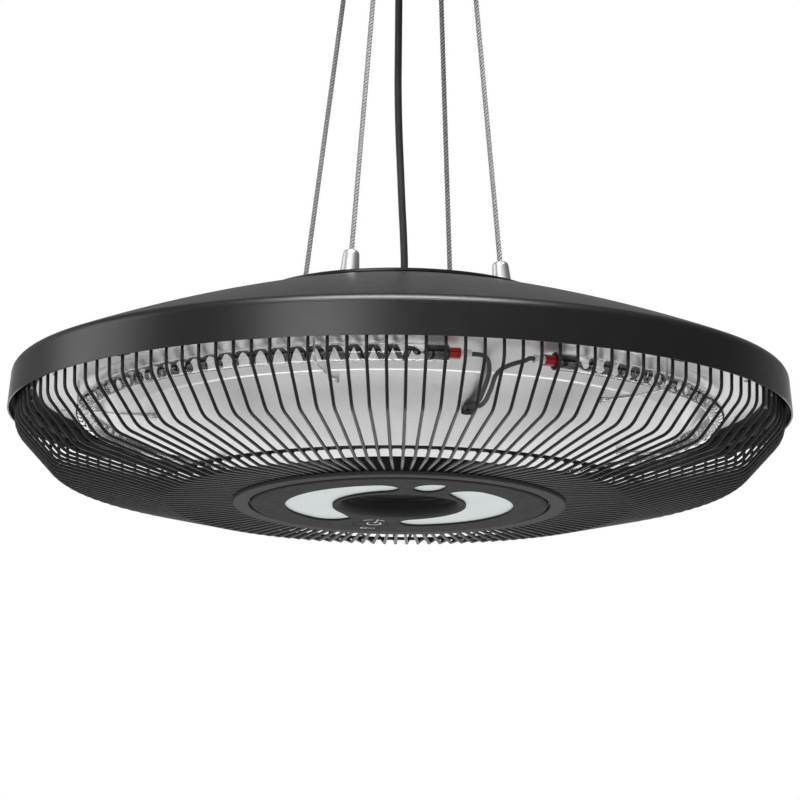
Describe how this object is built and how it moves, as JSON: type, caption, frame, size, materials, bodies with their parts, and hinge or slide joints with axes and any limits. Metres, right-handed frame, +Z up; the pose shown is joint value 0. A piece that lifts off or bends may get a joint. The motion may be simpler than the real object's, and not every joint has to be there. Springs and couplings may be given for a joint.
{
  "type": "infrared ceiling heater",
  "caption": "Round dome-shaped infrared heater hung from a ceiling canopy on wire ropes, with a wire guard, a ring heating tube, a lamp panel and a push button.",
  "frame": {"origin": "centre of the ceiling plate's top face, where it meets the ceiling", "axes": "+Z up, out of the ceiling plate into the ceiling; +X to the right and +Y away from someone who stands on the side where the gap between the heating tube's ends is"},
  "size_m": [0.6004, 0.6004, 0.464],
  "materials": {
    "casing_paint": "satin dark grey paint",
    "panel_plastic": "fine matt grey",
    "black_metal": "matt black heat-proof paint",
    "guard_paint": "satin dark grey paint on steel wire",
    "dark_plastic": "smooth black",
    "steel": "satin zinc or nickel plate",
    "fastener_steel": "plated screws and rivets",
    "wire_rope": "stranded stainless rope",
    "cord_sheath": "dull black sheath",
    "black_rubber": "dull black",
    "lead_sleeve": "braided heat-proof sleeve",
    "reflector_sheet": "brushed and polished",
    "quartz": "clear drawn glass",
    "filament": "dark oxidised ribbon",
    "red_seal": "glossy red sealing compound",
    "white_ceramic": "plain fired ceramic",
    "white_plastic": "plain",
    "diffuser": "frosted light diffuser",
    "board_green": "circuit board",
    "led": "phosphor"
  },
  "bodies": {
    "heater": {"ceiling_plate": "steel", "canopy_cover": "casing_paint", "canopy_posts": "steel", "canopy_gland": "black_rubber", "upper_ferrules": "steel", "rope_1": "wire_rope", "rope_2": "wire_rope", "rope_3": "wire_rope", "rope_4": "wire_rope", "mains_cord": "cord_sheath", "lower_ferrules": "steel", "cord_gland": "black_rubber", "top_plate": "casing_paint", "crown_gasket": "black_rubber", "top_plate_screws": "fastener_steel", "dome_casing": "casing_paint", "chassis_ring": "black_metal", "support_bridge": "steel", "bridge_screws": "fastener_steel", "bridge_standoffs": "steel", "control_housing": "dark_plastic", "control_lid": "dark_plastic", "control_board": "board_green", "terminal_block": "white_plastic", "reflector": "reflector_sheet", "reflector_rivets": "fastener_steel", "quartz_tube": "quartz", "filament_coil": "filament", "tube_terminals": "filament", "end_seals": "red_seal", "ceramic_tips": "white_ceramic", "lead_left": "lead_sleeve", "lead_right": "lead_sleeve", "lead_grommet": "black_rubber", "tube_clips": "steel", "clip_screws": "fastener_steel", "guard_wires_1": "guard_paint", "guard_wires_2": "guard_paint", "guard_wires_3": "guard_paint", "guard_wires_4": "guard_paint", "guard_wires_5": "guard_paint", "guard_wires_6": "guard_paint", "guard_wires_7": "guard_paint", "guard_wires_8": "guard_paint", "guard_hoop": "guard_paint", "guard_top_hoop": "guard_paint", "guard_brackets": "black_metal", "guard_screws": "fastener_steel", "flange_ring": "casing_paint", "control_pan": "black_metal", "pan_screws": "black_metal", "front_panel": "panel_plastic", "light_diffuser": "diffuser", "led_board": "white_plastic", "led_chips": "led", "centre_bowl": "dark_plastic", "button_spring": "steel", "push_switch": "dark_plastic"},
    "button": {"power_button": "panel_plastic"}
  },
  "joints": [
    {"name": "power_button_press", "type": "slide", "parent": "heater", "child": "button", "axis": [0, 0, 1], "range_m": [0, 0.0012], "stiffness_N_per_m": 300, "deforming": ["button_spring"]}
  ]
}
